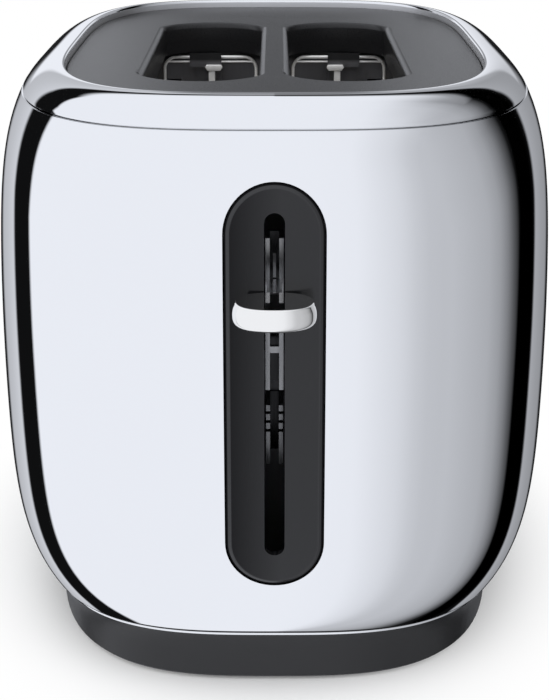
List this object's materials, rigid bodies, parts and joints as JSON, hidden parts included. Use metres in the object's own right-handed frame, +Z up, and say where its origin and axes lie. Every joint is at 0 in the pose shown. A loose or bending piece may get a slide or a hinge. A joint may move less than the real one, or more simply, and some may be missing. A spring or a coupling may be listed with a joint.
{
  "type": "two-slice toaster",
  "caption": "Two-slice toaster with a polished rounded body, two long bread slots in a dark deck, a lever at one end and controls on a long side.",
  "frame": {"origin": "on the table plane, under the middle of the whole object's box", "axes": "+Z up, +Y from the lever end to the back along the slots, +X to the right seen from the lever end"},
  "size_m": [0.193, 0.3004, 0.1844],
  "materials": {
    "chrome": "polished",
    "chrome_ring": "polished",
    "knob_chrome": "polished",
    "deck_plastic": "satin",
    "dark_plastic": "satin",
    "panel_plastic": "satin",
    "pan_steel": "galvanised",
    "foot_rubber": "matt",
    "screw_steel": "zinc plated",
    "tray_sheet": "plain",
    "terminal_plastic": "matt",
    "lever_steel": "plated",
    "carriage_steel": "plated",
    "keeper_iron": "plain",
    "coil_wire": "enamelled winding",
    "rod_steel": "ground",
    "spring_steel": "drawn wire",
    "plate_steel": "galvanised",
    "guard_wire": "nickel plated",
    "mica": "laminated",
    "ribbon": "heat stained",
    "reflector_sheet": "bright",
    "fascia_plastic": "satin",
    "dial_plastic": "satin",
    "spindle_plastic": "plain",
    "control_can": "plain",
    "board_laminate": "laminate",
    "button_plastic": "satin"
  },
  "bodies": {
    "housing": {"body_shell": "chrome", "top_ring": "chrome_ring", "top_deck": "deck_plastic", "base_plinth": "dark_plastic", "bottom_pan": "pan_steel", "rubber_feet": "foot_rubber", "base_screws": "screw_steel", "cord_gland": "foot_rubber", "terminal_block": "terminal_plastic", "lever_panel": "panel_plastic", "magnet_core": "keeper_iron", "magnet_coil": "coil_wire", "guide_rod": "rod_steel", "guide_rail": "carriage_steel", "carriage_spring": "spring_steel", "front_plate": "plate_steel", "back_plate": "plate_steel", "heater_card_left": "mica", "heater_card_right": "mica", "heater_card_centre": "mica", "heater_ribbon_left": "ribbon", "heater_ribbon_right": "ribbon", "heater_ribbons_centre": "ribbon", "reflector_left": "reflector_sheet", "reflector_right": "reflector_sheet", "control_fascia": "fascia_plastic", "browning_control": "control_can", "control_board": "board_laminate"},
    "lever": {"lever_knob": "knob_chrome", "lever_arm": "lever_steel", "carriage": "carriage_steel", "keeper_plate": "keeper_iron", "bread_lifter_left": "carriage_steel", "bread_lifter_right": "carriage_steel"},
    "guard_left_inner": {"bread_guard_left_inner": "guard_wire"},
    "guard_left_outer": {"bread_guard_left_outer": "guard_wire"},
    "guard_right_inner": {"bread_guard_right_inner": "guard_wire"},
    "guard_right_outer": {"bread_guard_right_outer": "guard_wire"},
    "dial": {"browning_dial": "dial_plastic", "dial_spindle": "spindle_plastic"},
    "cancel": {"cancel_button": "button_plastic"},
    "defrost": {"defrost_button": "button_plastic"},
    "reheat": {"reheat_button": "button_plastic"},
    "tray": {"crumb_tray": "tray_sheet"}
  },
  "joints": [
    {"name": "lever_slide", "type": "slide", "parent": "housing", "child": "lever", "axis": [0, 0, 1], "range_m": [-0.072, 0.018], "stiffness_N_per_m": 150, "springref_m": 0.00919, "deforming": ["carriage_spring"]},
    {"name": "guard_left_inner_slide", "type": "slide", "parent": "housing", "child": "guard_left_inner", "axis": [-1, 0, 0], "range_m": [-0.0013, 0.0051]},
    {"name": "guard_left_outer_slide", "type": "slide", "parent": "housing", "child": "guard_left_outer", "axis": [1, 0, 0], "range_m": [-0.0013, 0.0051]},
    {"name": "guard_right_inner_slide", "type": "slide", "parent": "housing", "child": "guard_right_inner", "axis": [1, 0, 0], "range_m": [-0.0013, 0.0051]},
    {"name": "guard_right_outer_slide", "type": "slide", "parent": "housing", "child": "guard_right_outer", "axis": [-1, 0, 0], "range_m": [-0.0013, 0.0051]},
    {"name": "dial_turn", "type": "hinge", "parent": "housing", "child": "dial", "pos_m": [-0.08681, 0.0597, 0.066], "axis": [-1, 0, 0], "range_deg": [-135, 135]},
    {"name": "cancel_press", "type": "slide", "parent": "housing", "child": "cancel", "axis": [1, 0, 0], "range_m": [0, 0.0012], "stiffness_N_per_m": 500},
    {"name": "defrost_press", "type": "slide", "parent": "housing", "child": "defrost", "axis": [1, 0, 0], "range_m": [0, 0.0012], "stiffness_N_per_m": 500},
    {"name": "reheat_press", "type": "slide", "parent": "housing", "child": "reheat", "axis": [1, 0, 0], "range_m": [0, 0.0012], "stiffness_N_per_m": 500},
    {"name": "tray_slide", "type": "slide", "parent": "housing", "child": "tray", "axis": [0, 1, 0], "range_m": [0, 0.19]}
  ],
  "couplings": [
    {"joint": "guard_left_inner_slide", "follows": "lever_slide", "ratio": -0.069444},
    {"joint": "guard_left_outer_slide", "follows": "lever_slide", "ratio": -0.069444},
    {"joint": "guard_right_inner_slide", "follows": "lever_slide", "ratio": -0.069444},
    {"joint": "guard_right_outer_slide", "follows": "lever_slide", "ratio": -0.069444}
  ]
}
